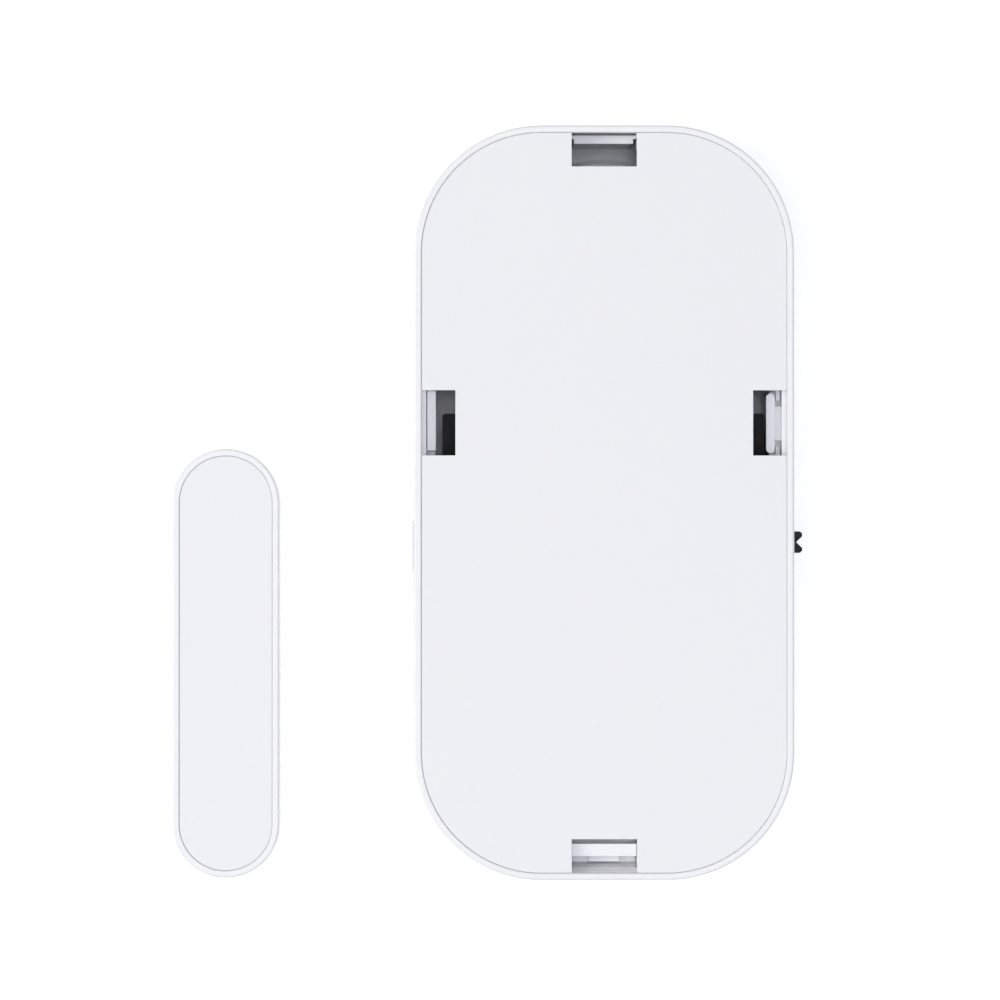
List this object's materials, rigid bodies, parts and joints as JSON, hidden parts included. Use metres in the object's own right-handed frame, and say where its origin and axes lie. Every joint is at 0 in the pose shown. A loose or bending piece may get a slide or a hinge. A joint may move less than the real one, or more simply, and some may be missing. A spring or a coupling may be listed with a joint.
{
  "type": "door contact sensor",
  "caption": "Two-piece door contact alarm: a rounded battery sensor unit with sounder and slide switch, and a pill-shaped magnet unit beside it, backs up.",
  "frame": {"origin": "centre of the sensor unit's flat front face, on the surface that both units lie on face down", "axes": "+Z out of the mounting backs, +Y towards the sounder end, +X towards the slide switch, away from the magnet unit"},
  "size_m": [0.0748, 0.089, 0.018],
  "materials": {
    "shell_white": "moulded ABS, glossy white",
    "plate_white": "moulded ABS, fine satin gloss, white",
    "lens_clear": "clear polycarbonate light window",
    "tray_black": "black moulded ABS, fine spark texture",
    "screw_steel": "zinc-plated steel",
    "contact_nickel": "nickel-plated spring steel",
    "cell_sleeve": "printed sleeve on a steel can, satin slate blue",
    "cell_cap": "nickel-plated steel",
    "board_mask": "glass-epoxy board with blue solder mask",
    "chip_black": "black moulded epoxy",
    "solder_tin": "tinned copper",
    "resistor_body": "alumina chip with a dark glaze",
    "capacitor_body": "tan ceramic chip",
    "led_body": "clear epoxy over a phosphor chip",
    "ferrite": "sintered ferrite",
    "copper_winding": "enamelled copper wire",
    "capacitor_can": "sleeved aluminium can",
    "switch_base_plastic": "phenolic base",
    "switch_cover_steel": "tin-plated folded steel",
    "nub_black": "black moulded nylon",
    "wiper_bronze": "phosphor bronze",
    "reed_glass": "green-tinted sealing glass",
    "reed_metal": "plated nickel-iron",
    "sounder_plastic": "moulded resonator cup, natural grey-white",
    "piezo_brass": "rolled brass disc",
    "piezo_ceramic": "silvered piezo ceramic",
    "ring_plastic": "moulded retaining ring",
    "wire_red": "PVC-insulated wire",
    "wire_black": "PVC-insulated wire",
    "magnet_nickel": "nickel-plated sintered magnet",
    "foam_grey": "closed-cell foam"
  },
  "bodies": {
    "sensor_case": {"front_shell": "shell_white", "led_lens": "lens_clear", "battery_tray": "tray_black", "tray_screws": "screw_steel", "positive_terminal": "contact_nickel", "negative_terminal": "contact_nickel", "bridge_contact": "contact_nickel", "circuit_board": "board_mask", "controller_chip": "chip_black", "controller_leads": "solder_tin", "drive_transistor": "chip_black", "chip_resistors": "resistor_body", "chip_capacitors": "capacitor_body", "indicator_led": "led_body", "coil_core": "ferrite", "coil_winding": "copper_winding", "storage_capacitor": "capacitor_can", "switch_base": "switch_base_plastic", "switch_cover": "switch_cover_steel", "switch_pins": "solder_tin", "reed_glass": "reed_glass", "reed_lead": "reed_metal", "reed_fixed_blade": "reed_metal", "sounder_case": "sounder_plastic", "piezo_disc": "piezo_brass", "piezo_ceramic": "piezo_ceramic", "sounder_ring": "ring_plastic", "sounder_wire_red": "wire_red", "sounder_wire_black": "wire_black"},
    "back_cover": {"back_cover": "plate_white"},
    "left_cell": {"aaa_cell_left": "cell_sleeve", "aaa_cell_left_cap": "cell_cap"},
    "right_cell": {"aaa_cell_right": "cell_sleeve", "aaa_cell_right_cap": "cell_cap"},
    "switch_slider": {"switch_slider": "nub_black", "switch_wiper": "wiper_bronze"},
    "reed_blade": {"reed_moving_blade": "reed_metal"},
    "magnet_unit": {"magnet_shell": "shell_white", "magnet_back_cover": "plate_white", "bar_magnet": "magnet_nickel", "magnet_foam_pad": "foam_grey"}
  },
  "joints": [
    {"name": "cover_lift", "type": "slide", "parent": "sensor_case", "child": "back_cover", "axis": [0, 0, 1], "range_m": [0, 0.04]},
    {"name": "left_cell_lift", "type": "slide", "parent": "sensor_case", "child": "left_cell", "axis": [0, 0, 1], "range_m": [0, 0.02]},
    {"name": "right_cell_lift", "type": "slide", "parent": "sensor_case", "child": "right_cell", "axis": [0, 0, 1], "range_m": [0, 0.02]},
    {"name": "switch_slide", "type": "slide", "parent": "sensor_case", "child": "switch_slider", "axis": [0, 1, 0], "range_m": [-0.002, 0]},
    {"name": "reed_close", "type": "hinge", "parent": "sensor_case", "child": "reed_blade", "pos_m": [-0.0156, -0.02085, 0.00647], "axis": [1, 0, 0], "range_deg": [0, 1.1], "stiffness_Nm_per_rad": 0.00001},
    {"name": "magnet_travel", "type": "slide", "parent": "sensor_case", "child": "magnet_unit", "axis": [-1, 0, 0], "range_m": [-0.013, 0.05]}
  ],
  "couplings": [
    {"joint": "left_cell_lift", "follows": "cover_lift", "ratio": 0.5},
    {"joint": "right_cell_lift", "follows": "cover_lift", "ratio": 0.5}
  ]
}
